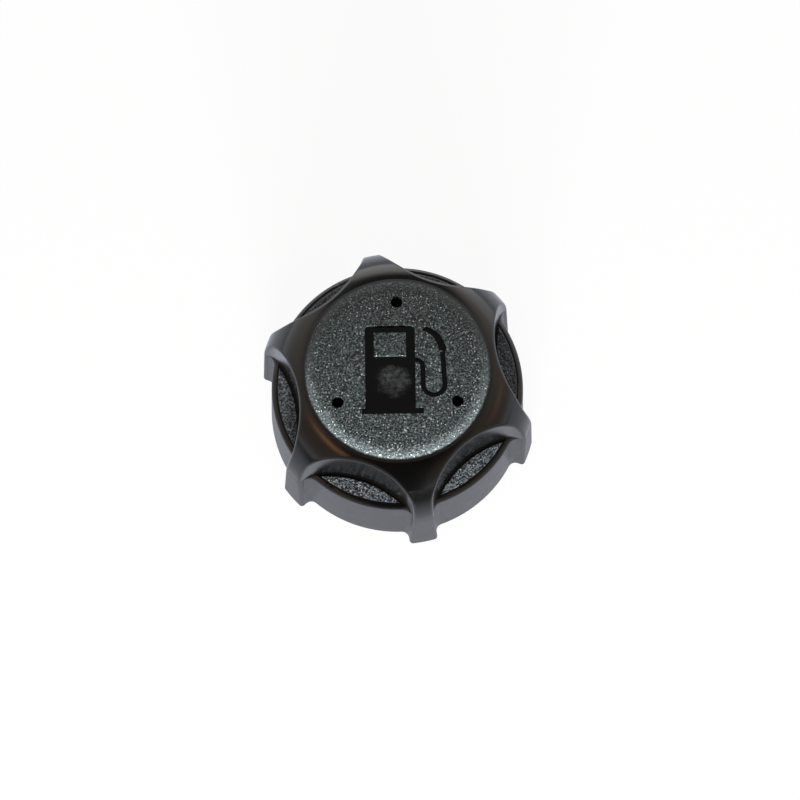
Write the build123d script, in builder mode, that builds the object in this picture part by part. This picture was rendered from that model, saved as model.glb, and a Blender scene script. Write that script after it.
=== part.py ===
from build123d import *
from math import cos, radians, sin, sqrt, tan
import os

# Screw-on fuel filler cap for the tank of a small engine.
# Millimetres, +Z up, origin on the cap's axis at the level of its lower edge.
# +Y is the top of the pump pictogram. The filler neck enters from below.

# Fits
clearance = 0.3  # between pieces that don't bear on each other
draft = 2.5  # degrees, on the moulded walls of the cover
cut_past = 1.0  # how far a cut runs out of the material

# Cover, outside
skirt_gap = 2.2  # between the insert's tube and the skirt's bore, at the lower edge
shoulder_height = 18.6  # height of the scallop floors
shoulder_fillet = 1.1
arm_count = 6
upright = 90.0  # degrees, the direction of the pictogram's top
arm_turn = 10.3  # degrees, from there to the first arm
arm_stand_out = 2.8  # of an arm's outer face from the skirt
arm_half_width = 3.1
arm_foot_fillet = 1.6  # where an arm stands out of the skirt
scallop_depth = 5.2  # of a scallop's deepest point behind the skirt
scallop_side_gap = 0.3  # from an arm's middle to the circles of its two scallops
arm_root_fillet = 3.0  # in plan, where a scallop runs into an arm
rim_fillet = 0.8

# Crown: the round top that the arms share, and the raised disc in its middle
crown_height = 33.0
disc_inset = 2.6  # of the disc's edge behind the scallops, in plan
disc_dome_drop = 0.35
disc_edge_width = 3.4
disc_edge_drop = 1.2
crown_upper_radius = 8.6
crown_lower_radius = 20.0
crown_shoulder_slope = 52.0  # degrees, where the two arcs meet
crown_step = 0.05  # disc edge above the top of the round

# Pump pictogram and vent holes in the disc
pictogram_depth = 0.8
pump_left = -6.8
pump_width = 10.6
pump_top = 9.4
pump_height = 18.1
pump_corner = 0.8
window_width = 6.8
window_height = 5.1
window_below_top = 1.6
window_from_left = 1.9
base_plate_left = -7.6
base_plate_width = 13.1
base_plate_height = 1.3
hose_width = 1.1
hose_outlet_y = 1.8
hose_reach = 1.6  # from the pump's side to the hose's first run
hose_bend = 1.4
hose_loop_radius = 2.3
hose_low_y = -3.6
hose_top_y = 3.7
hose_lean = 0.4
nozzle_width = 1.6  # where the hose runs into it
nozzle_tip_width = 0.9
nozzle_rise = 5.0
nozzle_reach = 3.9
vent_hole_radius = 1.25
vent_hole_inset = 5.56  # of a vent hole's axis from the disc's edge
vent_hole_count = 3

# Cover, inside
wall = 2.2
roof_thickness = 2.0
disc_thickness = 2.1
ceiling_inset = 3.4  # of the recess under the disc behind the disc's edge
pocket_tip_depth = 1.2  # how far the star pocket reaches into the arms, past the skirt's bore
stop_rib_width = 1.6
snap_lug_width = 5.0
snap_lug_height = 0.8
snap_lug_depth = 0.9
snap_lug_lead = 40.0  # degrees
snap_lug_bottom = 0.4

# Threaded insert
flange_thickness = 1.5
tube_wall = 1.6
thread_root_radius = 22.0
thread_depth = 1.3
thread_pitch = 4.0
thread_root_width = 2.2
thread_crest_width = 1.0
thread_lead_in = 0.3  # from the pilot land to the ridge
pilot_step = 0.4  # of the plain land at the mouth, outside the thread's root
pilot_length = 1.8
mouth_chamfer = 0.4
web_thickness = 2.0
key_height = 7.0
key_end_gap = 2.0  # from a key to the tip of its pocket
chimney_radius = 9.0
chimney_wall = 1.4
snap_bead = 0.5
snap_bead_height = 0.8

# Neck gasket
gasket_thickness = 2.5
gasket_width = 4.6

# Breather in the insert's chimney, from the web upwards
valve_seal_thickness = 1.0
valve_flange_thickness = 1.2
foam_thickness = 3.5
retainer_thickness = 1.2
retainer_hole_radius = 1.1
retainer_hole_pitch_radius = 5.2
retainer_hole_count = 6

# Roll-over valve, which hangs through the web
valve_radius = 7.2
valve_drop = 8.8  # from the web to the lower end
valve_nose_radius = 6.0
valve_nose_length = 4.5
valve_vent_radius = 2.2
seat_slope = 35.0  # degrees
ball_radius = 3.0
ball_side_gap = 0.9
ball_rest_gap = 0.1
ball_seat_gap = 0.1
ball_travel = 2.3
cage_wall = 1.1
cage_floor_thickness = 1.2
cage_bead = 0.5
cage_bead_width = 0.9
cage_bead_height = 1.6  # centre, above the floor
cage_drain_radius = 0.8
cage_drain_pitch_radius = 2.5
cage_drain_count = 3

# Splash guard, between the valve's shoulder and the cage
guard_thickness = 1.2
guard_gap = 2.7  # between the guard's rim and the gasket
guard_lip_height = 3.0
guard_drain_radius = 1.3
guard_drain_count = 6

os.makedirs("parts", exist_ok=True)

slope = tan(radians(draft))
arm_angle = upright + arm_turn
scallop_angle = arm_angle + 180 / arm_count
roof_height = shoulder_height - roof_thickness

# Radii at the lower edge, from the thread outwards, and what hangs on them
tube_radius = thread_root_radius + tube_wall
skirt_bore_radius = tube_radius + skirt_gap
pocket_tip_radius = skirt_bore_radius + pocket_tip_depth
skirt_radius = skirt_bore_radius + wall
arm_reach = skirt_radius + arm_stand_out
star_plan_reach = arm_reach + 2 * arm_root_fillet
scallop_bottom_radius = skirt_radius - scallop_depth
arm_share = sin(radians(180 / arm_count))
scallop_radius = (scallop_bottom_radius * arm_share - scallop_side_gap) / (1 - arm_share)
scallop_centre_radius = scallop_bottom_radius + scallop_radius
disc_radius = scallop_bottom_radius - disc_inset
vent_hole_pitch_radius = disc_radius - vent_hole_inset
ceiling_radius = disc_radius - ceiling_inset
pilot_radius = thread_root_radius + pilot_step
gasket_inner_radius = thread_root_radius - clearance - gasket_width

# The crown is two tangent arcs: a flatter one up from the arms' outer faces, a tighter one to level.
shoulder = radians(crown_shoulder_slope)
crown_top = crown_height - disc_dome_drop - disc_edge_drop - crown_step
upper_rise = crown_upper_radius * (1 - cos(shoulder))
lower_rise = crown_lower_radius * (cos(shoulder) - sin(radians(draft)))
crown_base = crown_top - upper_rise - lower_rise
crown_base_radius = arm_reach - crown_base * slope
dome_width = disc_radius - disc_edge_width
dome_radius = (dome_width**2 + disc_dome_drop**2) / (2 * disc_dome_drop)
disc_edge_radius = (disc_edge_width**2 + disc_edge_drop**2) / (2 * disc_edge_drop)


def star_plan(inset, reach):
    """Draws the curved star between the scallops, inset from its outside."""
    Circle(reach)
    with PolarLocations(scallop_centre_radius, arm_count, start_angle=scallop_angle):
        Circle(scallop_radius + inset, mode=Mode.SUBTRACT)


def crown_arcs(inset, mode):
    """The crown's two arcs, inset from its outside, from an arm's face up to level."""
    start = (crown_base_radius - inset, crown_base)
    turn = 90 - draft - crown_shoulder_slope
    lower = JernArc(start, (-slope, 1), crown_lower_radius - inset, turn, mode=mode)
    upper = JernArc(lower @ 1, lower % 1, crown_upper_radius - inset, crown_shoulder_slope, mode=mode)
    return lower, upper


def pocket_half_width(radius, height):
    """Half the width of the star pocket in an arm, at a radius and a height."""
    half_angle = radians(180 / arm_count)
    arc = scallop_radius + wall + height * slope
    along = scallop_centre_radius * cos(half_angle) - radius
    return scallop_centre_radius * sin(half_angle) - sqrt(arc**2 - along**2)


# Heights of the pieces inside, from the cover's lower edge
insert_bottom = snap_lug_bottom + snap_lug_height
flange_top = insert_bottom + flange_thickness
pilot_top = insert_bottom + mouth_chamfer + pilot_length
insert_top = roof_height - clearance
web_bottom = insert_top - web_thickness
gasket_bottom = web_bottom - gasket_thickness
valve_flange_bottom = insert_top + valve_seal_thickness
valve_top = valve_flange_bottom + valve_flange_thickness
foam_top = valve_top + foam_thickness
retainer_top = foam_top + retainer_thickness
chimney_top = retainer_top + snap_bead_height
key_top = insert_top + key_height
thread_start = pilot_top + thread_lead_in + thread_root_width / 2
thread_end = gasket_bottom - clearance - thread_root_width / 2
cage_floor_top = web_bottom - valve_drop
valve_shoulder = cage_floor_top + valve_nose_length
guard_bottom = valve_shoulder - guard_thickness
ball_rest_height = cage_floor_top + ball_rest_gap + ball_radius
seat_edge_gap = sqrt(ball_radius**2 - valve_vent_radius**2) + ball_seat_gap
seat_height = ball_rest_height + ball_travel + seat_edge_gap

# Radii and widths that follow from their neighbours
flange_radius = skirt_bore_radius - flange_top * slope - clearance
chimney_piece_radius = chimney_radius - clearance
web_hole_radius = valve_radius + clearance
chamber_radius = ball_radius + ball_side_gap
seat_cone_bottom = seat_height - (chamber_radius - valve_vent_radius) * tan(radians(seat_slope))
cage_bore_radius = valve_nose_radius + clearance
cage_radius = cage_bore_radius + cage_wall
guard_radius = gasket_inner_radius - guard_gap
guard_drain_pitch_radius = (cage_radius + guard_radius - guard_thickness) / 2
key_outer_radius = pocket_tip_radius - key_top * slope - key_end_gap
key_half_width = pocket_half_width(key_outer_radius, key_top) - clearance

# Round skirt of the cover, flared into the arms' flanks, with a soft shoulder
with BuildPart() as skirt:
    with BuildSketch() as skirt_sketch:
        Circle(skirt_radius)
        with PolarLocations(skirt_radius, arm_count, start_angle=arm_angle):
            Rectangle(2 * arm_foot_fillet, 2 * arm_half_width)
        feet = skirt_sketch.vertices().sort_by_distance((0, 0))[: 2 * arm_count]
        fillet(feet, arm_foot_fillet)
    extrude(amount=shoulder_height, taper=draft)
    fillet(skirt.edges().group_by(Axis.Z)[-1].filter_by(GeomType.CIRCLE), shoulder_fillet)

# Hollow of the cover: the crown's form in flat steps a wall further in, the skirt's bore, the disc's recess
with BuildPart() as hollow:
    with BuildSketch(Plane.XZ):
        with BuildLine():
            lower, upper = crown_arcs(wall, Mode.PRIVATE)
            Polyline(
                (0, 0),
                (arm_reach, 0),
                lower @ 0,
                lower @ 0.5,
                lower @ 1,
                upper @ 0.5,
                upper @ 1,
                (0, crown_top - wall),
                close=True,
            )
        make_face()
    revolve(axis=Axis.Z)
    with BuildSketch():
        star_plan(wall, pocket_tip_radius)
    extrude(amount=crown_height, taper=draft, mode=Mode.INTERSECT)
    with BuildSketch():
        Circle(skirt_bore_radius)
    extrude(amount=roof_height, taper=draft)
    with BuildSketch(Plane.XY.offset(roof_height)):
        Circle(ceiling_radius)
    extrude(amount=crown_height - disc_thickness - roof_height)

# Cover: one black moulding, the star grip over the round skirt
with BuildPart() as cover:
    # crown and arms: the lathe form that the six arms share
    with BuildSketch(Plane.XZ):
        with BuildLine():
            lower, upper = crown_arcs(0, Mode.ADD)
            Polyline(upper @ 1, (0, crown_top), (0, 0), (arm_reach, 0), lower @ 0)
        make_face()
    revolve(axis=Axis.Z)

    # cut to the star in plan, with the draft of the scallop walls
    with BuildSketch() as star_sketch:
        star_plan(0, star_plan_reach)
        with PolarLocations((scallop_radius + star_plan_reach) / 2, arm_count, start_angle=arm_angle):
            Rectangle(star_plan_reach - scallop_radius + 2 * cut_past, 2 * arm_half_width)
        roots = star_sketch.vertices().sort_by_distance((0, 0))[: 2 * arm_count]
        fillet(roots, arm_root_fillet)
    extrude(amount=crown_height, taper=draft, mode=Mode.INTERSECT)

    # round the rim of each scallop, over the arm and down its corner, in one run
    fillet(cover.edges().filter_by(GeomType.BSPLINE), rim_fillet)
    add(skirt.part)

    # disc: a low dome with a soft edge that stands in the crown
    with BuildSketch(Plane.XZ):
        with BuildLine():
            disc_base = crown_top - disc_edge_drop
            rim_start = (dome_width, crown_height - disc_dome_drop)
            disc_foot = (disc_radius, crown_top + crown_step)
            RadiusArc((0, crown_height), rim_start, dome_radius)
            RadiusArc(rim_start, disc_foot, disc_edge_radius)
            Polyline(disc_foot, (disc_radius, disc_base), (0, disc_base), (0, crown_height))
        make_face()
    revolve(axis=Axis.Z)

    # pump pictogram, sunk into the disc round a window left standing
    pump_right = pump_left + pump_width
    pump_bottom = pump_top - pump_height
    hose_x = pump_right + hose_reach
    loop_x = hose_x + 2 * hose_loop_radius
    with BuildSketch(Plane.XY.offset(crown_height - pictogram_depth)):
        pump_full_height = pump_height + base_plate_height
        with Locations(((pump_left + pump_right) / 2, pump_top - pump_full_height / 2)):
            RectangleRounded(pump_width, pump_full_height, pump_corner)
        with Locations((base_plate_left, pump_bottom)):
            Rectangle(base_plate_width, base_plate_height, align=(Align.MIN, Align.MAX))
        with Locations((pump_left + window_from_left, pump_top - window_below_top)):
            Rectangle(window_width, window_height, align=(Align.MIN, Align.MAX), mode=Mode.SUBTRACT)
        with BuildLine():
            run = FilletPolyline(
                (pump_right - hose_width, hose_outlet_y),
                (hose_x, hose_outlet_y),
                (hose_x, hose_low_y),
                radius=hose_bend,
            )
            loop = ThreePointArc(
                run @ 1, (hose_x + hose_loop_radius, hose_low_y - hose_loop_radius), (loop_x, hose_low_y)
            )
            rise = Line(loop @ 1, (loop_x - hose_lean, hose_top_y))
        trace(line_width=hose_width)
        with BuildLine():
            heel = rise @ 1
            tip = heel + (-nozzle_reach, nozzle_rise)
            nozzle_half = (nozzle_width / 2, 0)
            tip_half = (nozzle_tip_width / 2, nozzle_tip_width / 2)
            back = TangentArc(heel + nozzle_half, tip + tip_half, tangent=(0, 1))
            end = Line(back @ 1, tip - tip_half)
            TangentArc(heel - nozzle_half, end @ 1, tangent=(0, 1))
            Line(heel - nozzle_half, heel + nozzle_half)
        make_face()
    extrude(amount=pictogram_depth + cut_past, mode=Mode.SUBTRACT)

    # vent holes
    with BuildSketch(Plane.XY.offset(crown_height + cut_past)):
        with PolarLocations(vent_hole_pitch_radius, vent_hole_count, start_angle=upright):
            Circle(vent_hole_radius)
    extrude(amount=-crown_height, mode=Mode.SUBTRACT)

    # hollow from beneath
    add(hollow.part, mode=Mode.SUBTRACT)

    # ribs that stop the insert's flange
    rib_inner = tube_radius + clearance
    rib_outer = skirt_bore_radius + wall / 4
    with BuildSketch(Plane.XY.offset(flange_top)):
        with PolarLocations((rib_inner + rib_outer) / 2, arm_count, start_angle=scallop_angle):
            Rectangle(rib_outer - rib_inner, stop_rib_width)
    extrude(amount=roof_height - flange_top + roof_thickness / 4)

    # snap lugs that hold the flange up against the ribs
    lug_lead = snap_lug_height * tan(radians(snap_lug_lead))
    with BuildSketch(Plane.XY.offset(snap_lug_bottom)):
        with PolarLocations(skirt_bore_radius, arm_count, start_angle=scallop_angle):
            Rectangle(2 * (snap_lug_depth - lug_lead), snap_lug_width - 2 * lug_lead)
    extrude(amount=snap_lug_height, taper=-snap_lug_lead)

cover.part.label = "cover"
export_step(cover.part, "parts/cover.step")

# Threaded insert: takes the neck, the gasket and the valve, and is turned by its keys
with BuildPart() as threaded_insert:
    with BuildSketch(Plane.XZ):
        with BuildLine():
            Polyline(
                (pilot_radius + mouth_chamfer, insert_bottom),
                (flange_radius, insert_bottom),
                (flange_radius, flange_top),
                (tube_radius, flange_top),
                (tube_radius, insert_top),
                (chimney_radius + chimney_wall, insert_top),
                (chimney_radius + chimney_wall, chimney_top),
                (chimney_radius - snap_bead, chimney_top),
                (chimney_radius - snap_bead, retainer_top),
                (chimney_radius, retainer_top),
                (chimney_radius, insert_top),
                (web_hole_radius, insert_top),
                (web_hole_radius, web_bottom),
                (thread_root_radius, web_bottom),
                (thread_root_radius, pilot_top),
                (pilot_radius, pilot_top),
                (pilot_radius, insert_bottom + mouth_chamfer),
                close=True,
            )
        make_face()
    revolve(axis=Axis.Z)

    # keys in the arms, run in to the chimney as ribs
    key_inner = chimney_radius + chimney_wall / 2
    with BuildSketch(Plane.XY.offset(insert_top)):
        with PolarLocations((key_inner + key_outer_radius) / 2, arm_count, start_angle=arm_angle):
            Rectangle(key_outer_radius - key_inner, 2 * key_half_width)
        Circle(key_inner, mode=Mode.SUBTRACT)
    extrude(amount=key_height)

    # thread ridge
    with BuildLine():
        thread_rise = thread_end - thread_start
        helix = Helix(thread_pitch, thread_rise, thread_root_radius, center=(0, 0, thread_start))
    with BuildSketch(Plane(origin=helix @ 0, x_dir=(1, 0, 0), z_dir=helix % 0)):
        with BuildLine():
            Polyline(
                (tube_wall / 4, thread_root_width / 2),
                (0, thread_root_width / 2),
                (-thread_depth, thread_crest_width / 2),
                (-thread_depth, -thread_crest_width / 2),
                (0, -thread_root_width / 2),
                (tube_wall / 4, -thread_root_width / 2),
                close=True,
            )
        make_face()
    sweep(path=helix, is_frenet=True)

threaded_insert.part.label = "threaded_insert"
export_step(threaded_insert.part, "parts/threaded_insert.step")

# Neck gasket: flat rubber ring under the web
with BuildPart() as neck_gasket:
    with BuildSketch(Plane.XY.offset(gasket_bottom)):
        Circle(thread_root_radius - clearance)
        Circle(gasket_inner_radius, mode=Mode.SUBTRACT)
    extrude(amount=gasket_thickness)

neck_gasket.part.label = "neck_gasket"
export_step(neck_gasket.part, "parts/neck_gasket.step")

# Valve seal: flat rubber ring between the web and the valve's flange
with BuildPart() as valve_seal:
    with BuildSketch(Plane.XY.offset(insert_top)):
        Circle(chimney_piece_radius)
        Circle(web_hole_radius, mode=Mode.SUBTRACT)
    extrude(amount=valve_seal_thickness)

valve_seal.part.label = "valve_seal"
export_step(valve_seal.part, "parts/valve_seal.step")

# Valve body: vent bore, conical seat and ball chamber
with BuildPart() as valve_body:
    groove_half = cage_bead_width / 2 + clearance
    groove_middle = cage_floor_top + cage_bead_height
    with BuildSketch(Plane.XZ):
        with BuildLine():
            Polyline(
                (valve_vent_radius, valve_top),
                (chimney_piece_radius, valve_top),
                (chimney_piece_radius, valve_flange_bottom),
                (valve_radius, valve_flange_bottom),
                (valve_radius, valve_shoulder),
                (valve_nose_radius, valve_shoulder),
                (valve_nose_radius, groove_middle + groove_half),
                (valve_nose_radius - cage_bead, groove_middle + groove_half),
                (valve_nose_radius - cage_bead, groove_middle - groove_half),
                (valve_nose_radius, groove_middle - groove_half),
                (valve_nose_radius, cage_floor_top),
                (chamber_radius, cage_floor_top),
                (chamber_radius, seat_cone_bottom),
                (valve_vent_radius, seat_height),
                close=True,
            )
        make_face()
    revolve(axis=Axis.Z)

valve_body.part.label = "valve_body"
export_step(valve_body.part, "parts/valve_body.step")

# Valve ball: closes the seat when the cap is turned over
with BuildPart() as valve_ball:
    with Locations((0, 0, ball_rest_height)):
        Sphere(ball_radius)

valve_ball.part.label = "valve_ball"
export_step(valve_ball.part, "parts/valve_ball.step")

# Ball cage: snaps over the valve's nose and carries the ball
with BuildPart() as ball_cage:
    bead_radius = valve_nose_radius - cage_bead + clearance
    with BuildSketch(Plane.XZ):
        with BuildLine():
            Polyline(
                (0, cage_floor_top - cage_floor_thickness),
                (cage_radius, cage_floor_top - cage_floor_thickness),
                (cage_radius, guard_bottom),
                (cage_bore_radius, guard_bottom),
                (cage_bore_radius, groove_middle + cage_bead_width / 2),
                (bead_radius, groove_middle + cage_bead_width / 4),
                (bead_radius, groove_middle - cage_bead_width / 4),
                (cage_bore_radius, groove_middle - cage_bead_width / 2),
                (cage_bore_radius, cage_floor_top),
                (0, cage_floor_top),
                close=True,
            )
        make_face()
    revolve(axis=Axis.Z)
    with BuildSketch(Plane.XY.offset(cage_floor_top)):
        with PolarLocations(cage_drain_pitch_radius, cage_drain_count):
            Circle(cage_drain_radius)
    extrude(amount=-cage_floor_thickness, mode=Mode.SUBTRACT)

ball_cage.part.label = "ball_cage"
export_step(ball_cage.part, "parts/ball_cage.step")

# Splash guard: a dish round the valve, held between its shoulder and the cage
with BuildPart() as splash_guard:
    with BuildSketch(Plane.XZ):
        with BuildLine():
            Polyline(
                (cage_bore_radius, guard_bottom),
                (guard_radius, guard_bottom),
                (guard_radius, valve_shoulder + guard_lip_height),
                (guard_radius - guard_thickness, valve_shoulder + guard_lip_height),
                (guard_radius - guard_thickness, valve_shoulder),
                (cage_bore_radius, valve_shoulder),
                close=True,
            )
        make_face()
    revolve(axis=Axis.Z)
    with BuildSketch(Plane.XY.offset(valve_shoulder)):
        with PolarLocations(guard_drain_pitch_radius, guard_drain_count):
            Circle(guard_drain_radius)
    extrude(amount=-guard_thickness, mode=Mode.SUBTRACT)

splash_guard.part.label = "splash_guard"
export_step(splash_guard.part, "parts/splash_guard.step")

# Breather foam: lets air through the chimney and holds back dust and spray
with BuildPart() as breather_foam:
    with BuildSketch(Plane.XY.offset(valve_top)):
        Circle(chimney_piece_radius)
    extrude(amount=foam_thickness)

breather_foam.part.label = "breather_foam"
export_step(breather_foam.part, "parts/breather_foam.step")

# Foam retainer: a pierced disc under the chimney's snap bead
with BuildPart() as foam_retainer:
    with BuildSketch(Plane.XY.offset(foam_top)):
        Circle(chimney_piece_radius)
        with PolarLocations(retainer_hole_pitch_radius, retainer_hole_count):
            Circle(retainer_hole_radius, mode=Mode.SUBTRACT)
        Circle(retainer_hole_radius, mode=Mode.SUBTRACT)
    extrude(amount=retainer_thickness)

foam_retainer.part.label = "foam_retainer"
export_step(foam_retainer.part, "parts/foam_retainer.step")
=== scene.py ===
import math

import bpy
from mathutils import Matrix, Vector

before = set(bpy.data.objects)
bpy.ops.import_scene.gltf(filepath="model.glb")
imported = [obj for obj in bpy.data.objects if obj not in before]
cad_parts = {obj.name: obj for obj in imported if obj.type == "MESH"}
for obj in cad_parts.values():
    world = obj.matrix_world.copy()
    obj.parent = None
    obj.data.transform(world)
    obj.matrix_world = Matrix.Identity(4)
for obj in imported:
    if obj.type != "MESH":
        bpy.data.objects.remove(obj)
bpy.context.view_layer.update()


def grey(value, warm=0.0):
    return (value * (1 + warm), value, value * (1 - warm), 1.0)


# Sizes of the cover that its finish follows, in metres, as in the CAD frame. Its soft borders are
# a few hairs wide.
SCALLOP_ANGLE = math.radians(130.3)
SCALLOP_STEP = math.radians(60.0)
SCALLOP_CENTRE = 0.0450
SCALLOP_FLOOR_ARC = 0.0230
SCALLOP_FLOOR = 0.0186
FLOOR_EDGE = 0.0259
DISC_RADIUS = 0.0202
DISC_EDGE = 0.0195
DISC_FOOT = 0.0309
# Where the paler ring of painted highlight along the disc's edge begins and where it is full
EDGE_HIGHLIGHT_FROM = 0.0168
EDGE_HIGHLIGHT_FULL = 0.0186
RECESS_FLOOR = 0.0322
RECESS_REACH = 0.0140
# The painted reflection on the pictogram's floor: its centre, size, raggedness and soft edge
REFLECTION_CENTRE = (-0.0009, -0.0026)
REFLECTION_SIZE = (0.0040, 0.0038)
REFLECTION_RAGGEDNESS = 1.4
REFLECTION_ENDS = (1.75, 0.9)
SKIRT_TOP = 0.0172
SKIRT_FADE = 0.0016
HAIR = 0.0001

# Tones of the cover, and the shares of those that lie thinly over another
SMOOTH_TONES = (grey(0.0005), grey(0.0011))
ERODED_TONES = ((0.002, 0.004, 0.005, 1.0), (0.108, 0.134, 0.136, 1.0))
# Bright specks on the eroded disc are painted glints
GLINT_TONE = (0.66, 0.72, 0.72, 1.0)
# A paler tone painted as a highlight on the ring along the disc's edge, and its share
EDGE_HIGHLIGHT_TONE = (0.30, 0.34, 0.345, 1.0)
EDGE_HIGHLIGHT_SHARE = 0.14
# The scallop floors' eroded tones are painted lighter than the disc's, against the shade they lie in
LENS_LIGHTENED_TONES = ((0.004, 0.006, 0.008, 1.0), (0.190, 0.216, 0.236, 1.0))
# Bright specks on the scallop floors are painted glints
LENS_GLINT_TONE = (0.60, 0.64, 0.68, 1.0)
# Tones of the painted reflection on the pictogram's floor, and its share
REFLECTION_TONES = (grey(0.020), (0.115, 0.132, 0.135, 1.0))
REFLECTION_SHARE = 0.80
SKIRT_TONE = grey(0.0070)

# Roughness of the cover's star, and what is added to it
STAR_ROUGHNESS = 0.16
UNEVEN_ROUGHNESS = 0.10
SKIRT_ROUGHNESS = 0.16
FROSTED_ROUGHNESS = 0.56

# Floor: its half side and level, its own tone, the share of it that glows, and what gloss shows of it
FLOOR_REACH = 3.0
FLOOR_LEVEL = -0.00005
FLOOR_TONE = grey(0.90)
FLOOR_GLOW = 0.93
FLOOR_FRONT_TONE = grey(0.05)
FLOOR_REST_TONE = (0.80, 0.83, 0.93, 1.0)
FLOOR_FRONT_ENDS = (-0.110, -0.045)

# World: the room's tones by height of the direction, its window, the dark band and the soft light
HORIZON_TONE = (0.92, 0.95, 1.00, 1.0)
ROOM_TONES = ((0.15, grey(0.85)), (0.35, grey(0.48, 0.06)), (0.60, grey(0.38, 0.22)))
ZENITH_TONE = grey(0.36, 0.28)
WINDOW_TONE = grey(2.0)
WINDOW_SHARE = 0.50
BAND_FRONT_TONE = grey(0.02)
BAND_TOP_TONE = grey(0.14)
SOFT_STRENGTH = 0.38

# What the lamps and the camera aim at, and where the camera stands and what it takes in
LAMPS_AIM = Vector((0, 0, 0.02))
CAMERA_AIM = Vector((0, 0, 0.010))
CAMERA_AZIMUTH = math.radians(-0.77)
CAMERA_ELEVATION = math.radians(74.41)
CAMERA_DISTANCE = 0.600
CAMERA_LENS = 123.147
CAMERA_SENSOR = 36.0
CAMERA_SHIFT = (0.00335, -0.00369)


class Nodes:
    """A node tree, with short calls for the nodes that the finishes and the studio share."""

    def __init__(self, tree, coordinates="Object"):
        self.tree = tree
        self.place = self.add("ShaderNodeTexCoord").outputs[coordinates]

    def add(self, kind, **settings):
        node = self.tree.nodes.new(kind)
        for key, value in settings.items():
            setattr(node, key, value)
        return node

    def feed(self, socket, value):
        if hasattr(value, "is_output"):
            self.tree.links.new(value, socket)
        else:
            socket.default_value = value

    def axes(self):
        node = self.add("ShaderNodeSeparateXYZ")
        self.feed(node.inputs[0], self.place)
        return node.outputs

    def math(self, operation, a, b=0.0, clamp=False):
        node = self.add("ShaderNodeMath", operation=operation, use_clamp=clamp)
        self.feed(node.inputs[0], a)
        self.feed(node.inputs[1], b)
        return node.outputs[0]

    def times(self, a, b):
        return self.math("MULTIPLY", a, b)

    def squares(self, a, b):
        return self.math("ADD", self.times(a, a), self.times(b, b))

    def length(self, a, b):
        return self.math("SQRT", self.squares(a, b))

    def ramp(self, value, low, high, to_low=0.0, to_high=1.0):
        node = self.add("ShaderNodeMapRange", interpolation_type="SMOOTHSTEP")
        for socket, number in zip(node.inputs, (value, low, high, to_low, to_high)):
            self.feed(socket, number)
        return node.outputs[0]

    def noise(self, scale, detail=2.0, roughness=0.5):
        node = self.add("ShaderNodeTexNoise")
        self.feed(node.inputs["Vector"], self.place)
        self.feed(node.inputs["Scale"], scale)
        self.feed(node.inputs["Detail"], detail)
        self.feed(node.inputs["Roughness"], roughness)
        return node.outputs["Fac"]

    def cells(self, scale, feature="F1"):
        node = self.add("ShaderNodeTexVoronoi", feature=feature)
        self.feed(node.inputs["Vector"], self.place)
        self.feed(node.inputs["Scale"], scale)
        return node.outputs["Distance"]

    def mix(self, factor, a, b, blend="MIX"):
        node = self.add("ShaderNodeMix", data_type="RGBA", blend_type=blend)
        self.feed(node.inputs["Factor"], factor)
        self.feed(node.inputs["A"], a)
        self.feed(node.inputs["B"], b)
        return node.outputs["Result"]

    def bump(self, height, distance, strength, below=None):
        node = self.add("ShaderNodeBump")
        self.feed(node.inputs["Height"], height)
        self.feed(node.inputs["Distance"], distance)
        self.feed(node.inputs["Strength"], strength)
        if below is not None:
            self.feed(node.inputs["Normal"], below)
        return node.outputs["Normal"]

    def ray(self, kind):
        return self.add("ShaderNodeLightPath").outputs[kind]

    def seen_directly(self):
        """1 for camera, mirror and see-through rays, else 0."""
        total = self.math("MAXIMUM", self.ray("Is Camera Ray"), self.ray("Is Glossy Ray"))
        return self.math("MAXIMUM", total, self.ray("Is Transmission Ray"))


class Finish(Nodes):
    """A material of the cap, round its Principled shader."""

    def __init__(self, name):
        self.material = bpy.data.materials.new(name)
        self.material.use_nodes = True
        super().__init__(self.material.node_tree)
        self.shader = self.tree.nodes["Principled BSDF"]

    def done(self, **inputs):
        for name, value in inputs.items():
            self.feed(self.shader.inputs[name.replace("_", " ")], value)
        return self.material


def scallop_lens(n, x, y, z, radius):
    """A lens on each scallop floor, clear of the wall and of the shoulder."""
    turned = n.math("SUBTRACT", n.math("ARCTAN2", y, x), SCALLOP_ANGLE)
    angle = n.math("PINGPONG", turned, SCALLOP_STEP / 2)
    along = n.math("SUBTRACT", SCALLOP_CENTRE, n.times(radius, n.math("COSINE", angle)))
    across = n.times(radius, n.math("SINE", angle))
    from_centre = n.length(along, across)
    in_arc = n.ramp(from_centre, SCALLOP_FLOOR_ARC - 3 * HAIR, SCALLOP_FLOOR_ARC - 6 * HAIR)
    in_edge = n.ramp(radius, FLOOR_EDGE, FLOOR_EDGE - 3 * HAIR)
    over = n.ramp(z, SCALLOP_FLOOR - 2 * HAIR, SCALLOP_FLOOR - HAIR)
    under = n.ramp(z, SCALLOP_FLOOR + 2 * HAIR, SCALLOP_FLOOR + HAIR)
    return n.times(n.times(in_arc, in_edge), n.times(over, under))


def painted_reflection(n, x, y):
    """A ragged cloud of painted reflection on the pictogram's floor."""
    reflection_x = n.math("DIVIDE", n.math("SUBTRACT", x, REFLECTION_CENTRE[0]), REFLECTION_SIZE[0])
    reflection_y = n.math("DIVIDE", n.math("SUBTRACT", y, REFLECTION_CENTRE[1]), REFLECTION_SIZE[1])
    ragged = n.times(n.noise(420.0, detail=3.0, roughness=0.6), REFLECTION_RAGGEDNESS)
    return n.ramp(n.math("ADD", n.squares(reflection_x, reflection_y), ragged), *REFLECTION_ENDS)


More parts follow.
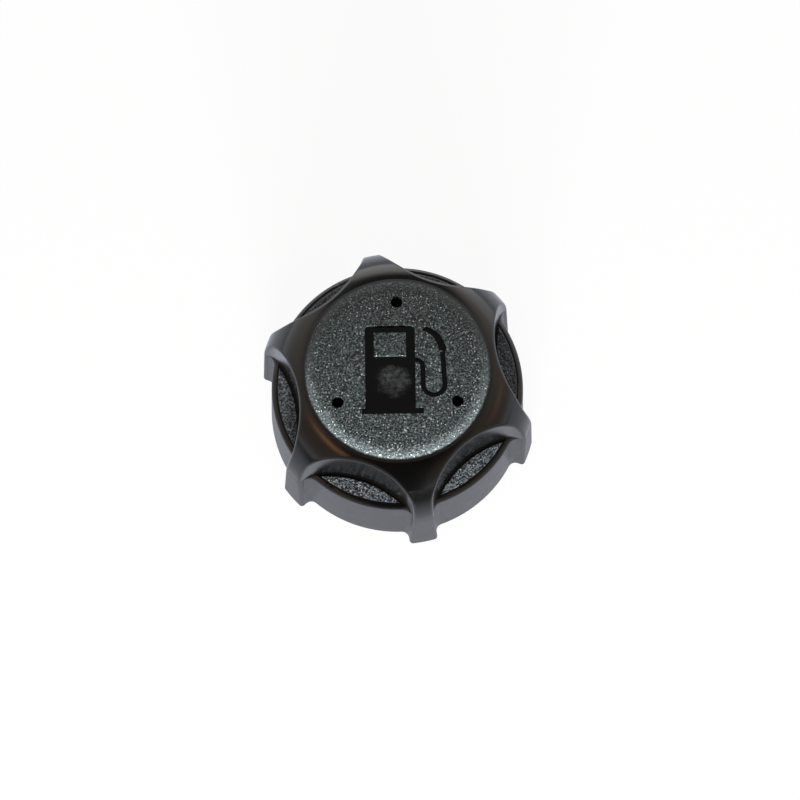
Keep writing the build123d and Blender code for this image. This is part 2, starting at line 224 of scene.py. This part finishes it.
def cover_material():
    """Black plastic: smooth star, spark-eroded disc and scallop floors, fine-grained skirt."""
    n = Finish("black_cover")
    x, y, z = n.axes()
    radius = n.length(x, y)

    # the disc, but not the floor of the pictogram, which has a painted reflection on it instead
    top = n.ramp(z, DISC_FOOT, DISC_FOOT + 4 * HAIR)
    in_recess = n.ramp(radius, RECESS_REACH + HAIR, RECESS_REACH)
    sunk = n.times(in_recess, n.ramp(z, RECESS_FLOOR + 2 * HAIR, RECESS_FLOOR + HAIR))
    raised = n.math("SUBTRACT", 1.0, sunk)
    frosted = n.times(n.times(n.ramp(radius, DISC_RADIUS + HAIR, DISC_RADIUS), top), raised)
    in_disc = n.ramp(radius, DISC_EDGE + 3 * HAIR, DISC_EDGE - 4 * HAIR)
    disc = n.times(n.times(in_disc, top), raised)
    reflection_patch = n.times(painted_reflection(n, x, y), n.times(sunk, top))

    # the scallop floors and the skirt
    lens = scallop_lens(n, x, y, z, radius)
    eroded = n.math("MAXIMUM", disc, lens)
    skirt = n.ramp(z, SKIRT_TOP + SKIRT_FADE, SKIRT_TOP)

    # textures
    grain = n.noise(2600.0, detail=3.0, roughness=0.65)
    # cells that raise specks in the relief and give the painted glints in the colour
    glint_specks = n.ramp(n.cells(1650.0), 0.34, 0.14)
    cloud = n.noise(140.0, detail=3.0)
    fine = n.noise(3600.0, detail=3.0, roughness=0.65)
    reflection_grain = n.noise(900.0, detail=4.0, roughness=0.7)

    # colour: black, greyer where the mould is eroded, with bright specks that are painted glints, a
    # paler ring that is a painted highlight along the disc's edge, the scallop floors painted lighter
    # against their shade, and a painted reflection on the pictogram's floor
    smooth_tone = n.mix(cloud, *SMOOTH_TONES)
    eroded_tone = n.mix(n.ramp(grain, 0.44, 0.62), *ERODED_TONES)
    # bright specks painted as glints on the eroded disc
    eroded_tone = n.mix(n.times(glint_specks, n.ramp(grain, 0.47, 0.58)), eroded_tone, GLINT_TONE)
    # a painted highlight: the eroded tone paler on a ring along the disc's edge
    edge_highlight = n.times(n.ramp(radius, EDGE_HIGHLIGHT_FROM, EDGE_HIGHLIGHT_FULL), EDGE_HIGHLIGHT_SHARE)
    eroded_tone = n.mix(edge_highlight, eroded_tone, EDGE_HIGHLIGHT_TONE)
    # the scallop floors' eroded tone, painted lighter against the shade they lie in
    lens_lightened_tone = n.mix(n.ramp(grain, 0.40, 0.62), *LENS_LIGHTENED_TONES)
    # bright specks painted as glints on the scallop floors
    lens_lightened_tone = n.mix(n.times(glint_specks, n.ramp(grain, 0.50, 0.60)), lens_lightened_tone, LENS_GLINT_TONE)
    # a painted reflection on the pictogram's floor
    reflection_tone = n.mix(n.ramp(reflection_grain, 0.35, 0.70), *REFLECTION_TONES)
    tone = n.mix(disc, smooth_tone, eroded_tone)
    tone = n.mix(lens, tone, lens_lightened_tone)
    # lay the painted reflection over the pictogram's floor
    tone = n.mix(n.times(reflection_patch, REFLECTION_SHARE), tone, reflection_tone)
    tone = n.mix(n.times(skirt, n.ramp(fine, 0.46, 0.66)), tone, SKIRT_TONE)

    # roughness: satin star, matt skirt, frosted erosion
    uneven = n.times(n.noise(420.0, detail=4.0, roughness=0.6), UNEVEN_ROUGHNESS)
    rough = n.math("ADD", STAR_ROUGHNESS, uneven)
    rough = n.math("ADD", rough, n.times(skirt, SKIRT_ROUGHNESS))
    matt = n.times(n.math("MAXIMUM", frosted, lens), FROSTED_ROUGHNESS)
    rough = n.math("ADD", rough, matt, clamp=True)

    # relief
    pits = n.times(n.math("ADD", grain, n.times(glint_specks, 0.5)), eroded)
    normal = n.bump(pits, 0.00035, 1.0)
    normal = n.bump(n.times(fine, skirt), 0.00005, 0.9, normal)
    normal = n.bump(n.noise(900.0, detail=3.0, roughness=0.55), 0.000012, 0.35, normal)
    return n.done(Base_Color=tone, Roughness=rough, Normal=normal)


def moulded_material(name, dark, light, rough, grain_scale):
    """Plain moulded plastic with a fine grain and a little unevenness."""
    n = Finish(name)
    cloud = n.noise(180.0, detail=4.0, roughness=0.6)
    grain = n.noise(grain_scale, detail=2.0, roughness=0.6)
    tone = n.mix(n.times(n.math("ADD", cloud, grain), 0.5), dark, light)
    uneven = n.math("ADD", rough, n.times(cloud, 0.14))
    waves = n.bump(n.noise(700.0, detail=3.0), 0.00002, 0.4)
    normal = n.bump(grain, 0.00002, 0.7, waves)
    return n.done(Base_Color=tone, Roughness=uneven, Normal=normal)


def rubber_material():
    """Dull black rubber with fine mould marks and a dusty bloom."""
    n = Finish("seal_rubber")
    bloom = n.ramp(n.noise(260.0, detail=5.0, roughness=0.65), 0.45, 0.75)
    tone = n.mix(bloom, grey(0.012), grey(0.040))
    rough = n.math("ADD", 0.58, n.times(bloom, 0.22))
    normal = n.bump(n.noise(3600.0, detail=3.0, roughness=0.7), 0.00004, 0.8)
    return n.done(Base_Color=tone, Roughness=rough, Normal=normal)


def steel_material():
    """Ground steel ball with faint polishing marks."""
    n = Finish("ball_steel")
    marks = n.noise(2400.0, detail=4.0, roughness=0.7)
    tone = n.mix(marks, (0.50, 0.50, 0.52, 1.0), (0.66, 0.66, 0.68, 1.0))
    rough = n.math("ADD", 0.14, n.times(marks, 0.14))
    normal = n.bump(marks, 0.000006, 0.4)
    return n.done(Base_Color=tone, Roughness=rough, Metallic=1.0, Normal=normal)


def foam_material():
    """Open-cell foam: pale struts, with painted shade in the pores between them."""
    n = Finish("breather_foam")
    # the pores are sunk in the relief and painted dark as shade
    shaded_pores = n.ramp(n.cells(1500.0, "DISTANCE_TO_EDGE"), 0.02, 0.22)
    tone = n.mix(shaded_pores, grey(0.21), grey(0.012))
    normal = n.bump(n.math("SUBTRACT", 1.0, shaded_pores), 0.0003, 1.0)
    return n.done(Base_Color=tone, Roughness=0.85, Normal=normal)


FINISHES = {
    "cover": cover_material(),
    "threaded_insert": moulded_material("black_insert", grey(0.012), grey(0.030), 0.36, 4200.0),
    "splash_guard": moulded_material("dark_guard", grey(0.030), grey(0.065), 0.38, 3800.0),
    "valve_body": moulded_material("natural_valve", grey(0.50, 0.05), grey(0.66, 0.03), 0.40, 3000.0),
    "neck_gasket": rubber_material(),
    "valve_ball": steel_material(),
    "breather_foam": foam_material(),
}
FINISHES["valve_seal"] = FINISHES["neck_gasket"]
FINISHES["ball_cage"] = FINISHES["valve_body"]
FINISHES["foam_retainer"] = FINISHES["splash_guard"]

for node_name, node_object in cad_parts.items():
    for slot in node_object.material_slots:
        slot.material = FINISHES[node_name]


def paper_material():
    """White to the eye, with a faint shadow; in gloss dark in front of the cap and pale elsewhere."""
    paper = bpy.data.materials.new("white_floor")
    paper.use_nodes = True
    paper.node_tree.nodes.clear()
    n = Nodes(paper.node_tree)
    y = n.axes()["Y"]
    sheet = n.add("ShaderNodeBsdfDiffuse")
    n.feed(sheet.inputs["Color"], FLOOR_TONE)
    in_gloss = n.mix(n.ramp(y, *FLOOR_FRONT_ENDS), FLOOR_FRONT_TONE, FLOOR_REST_TONE)
    glow = n.add("ShaderNodeEmission")
    n.feed(glow.inputs["Color"], n.mix(n.ray("Is Camera Ray"), in_gloss, grey(1.0)))
    blend = n.add("ShaderNodeMixShader")
    n.feed(blend.inputs["Fac"], n.times(n.seen_directly(), FLOOR_GLOW))
    n.feed(blend.inputs[1], sheet.outputs[0])
    n.feed(blend.inputs[2], glow.outputs[0])
    n.feed(n.add("ShaderNodeOutputMaterial").inputs["Surface"], blend.outputs[0])
    return paper


floor_mesh = bpy.data.meshes.new("floor")
signs = ((-1, -1), (1, -1), (1, 1), (-1, 1))
corners = [(across * FLOOR_REACH, along * FLOOR_REACH, FLOOR_LEVEL) for across, along in signs]
floor_mesh.from_pydata(corners, [], [(0, 1, 2, 3)])
floor = bpy.data.objects.new("floor", floor_mesh)
bpy.context.scene.collection.objects.link(floor)
floor_mesh.materials.append(paper_material())


def mirrored_room(n):
    """A room that dims with height, lit from behind the cap, under a dark band from the front."""
    x, y, z = n.axes()
    room = n.add("ShaderNodeValToRGB")
    stops = room.color_ramp.elements
    stops[0].color = HORIZON_TONE
    stops[1].color = ZENITH_TONE
    for height, tone in ROOM_TONES:
        stops.new(height).color = tone
    n.feed(room.inputs["Fac"], z)
    daylight = n.times(n.ramp(y, -0.20, 1.0), WINDOW_SHARE)
    far_window = n.times(n.ramp(y, 0.76, 0.90), WINDOW_SHARE)
    window = n.math("ADD", daylight, far_window)
    lit_room = n.mix(window, room.outputs["Color"], WINDOW_TONE, "ADD")
    band = n.mix(n.ramp(y, -0.10, 0.22), BAND_FRONT_TONE, BAND_TOP_TONE)
    beside = n.ramp(n.math("ABSOLUTE", x), 0.22, 0.34)
    behind = n.ramp(y, 0.74, 0.86)
    return n.mix(n.math("MAXIMUM", beside, behind), band, lit_room)


def light_world(world):
    """White to the eye, the room in gloss, and plain soft light on matt surfaces."""
    world.use_nodes = True
    world.node_tree.nodes.clear()
    n = Nodes(world.node_tree, "Generated")
    background = n.add("ShaderNodeBackground")
    colour = n.mix(n.ray("Is Glossy Ray"), grey(1.0), mirrored_room(n))
    n.feed(background.inputs["Color"], colour)
    strength = n.ramp(n.seen_directly(), 0.0, 1.0, SOFT_STRENGTH, 1.0)
    n.feed(background.inputs["Strength"], strength)
    n.feed(n.add("ShaderNodeOutputWorld").inputs["Surface"], background.outputs[0])


bpy.context.scene.world = bpy.data.worlds.new("studio")
light_world(bpy.context.scene.world)


def soft_light(name, place, size, radiance, colour=(1.0, 1.0, 1.0), in_gloss=True):
    """A soft box that faces the cap."""
    lamp = bpy.data.lights.new(name, "AREA")
    lamp.shape = "RECTANGLE"
    lamp.size, lamp.size_y = size
    lamp.energy = radiance * math.pi * size[0] * size[1]
    lamp.color = colour
    holder = bpy.data.objects.new(name, lamp)
    bpy.context.scene.collection.objects.link(holder)
    holder.location = place
    holder.rotation_euler = (LAMPS_AIM - Vector(place)).to_track_quat("-Z", "Y").to_euler()
    holder.visible_glossy = in_gloss


soft_light("low_key", (0.0, -0.90, 0.095), (0.50, 0.10), 380.0, in_gloss=False)
soft_light("right_box", (0.50, 0.66, 0.40), (0.36, 0.30), 0.45)
soft_light("warm_left", (-0.31, -0.12, 0.73), (0.22, 0.12), 3.0, (1.0, 0.45, 0.18))
soft_light("warm_right", (0.58, 0.02, 0.60), (0.24, 0.18), 0.7, (1.0, 0.40, 0.30))

# Camera: the photograph's viewing angle
level = math.cos(CAMERA_ELEVATION)
back = Vector((
    math.sin(CAMERA_AZIMUTH) * level,
    -math.cos(CAMERA_AZIMUTH) * level,
    math.sin(CAMERA_ELEVATION),
))
camera_data = bpy.data.cameras.new("camera")
camera_data.lens = CAMERA_LENS
camera_data.sensor_width = CAMERA_SENSOR
camera_data.shift_x, camera_data.shift_y = CAMERA_SHIFT
camera = bpy.data.objects.new("camera", camera_data)
bpy.context.scene.collection.objects.link(camera)
camera.location = CAMERA_AIM + back * CAMERA_DISTANCE
camera.rotation_euler = back.to_track_quat("Z", "Y").to_euler()
bpy.context.scene.camera = camera
bpy.context.scene.view_settings.view_transform = "Standard"
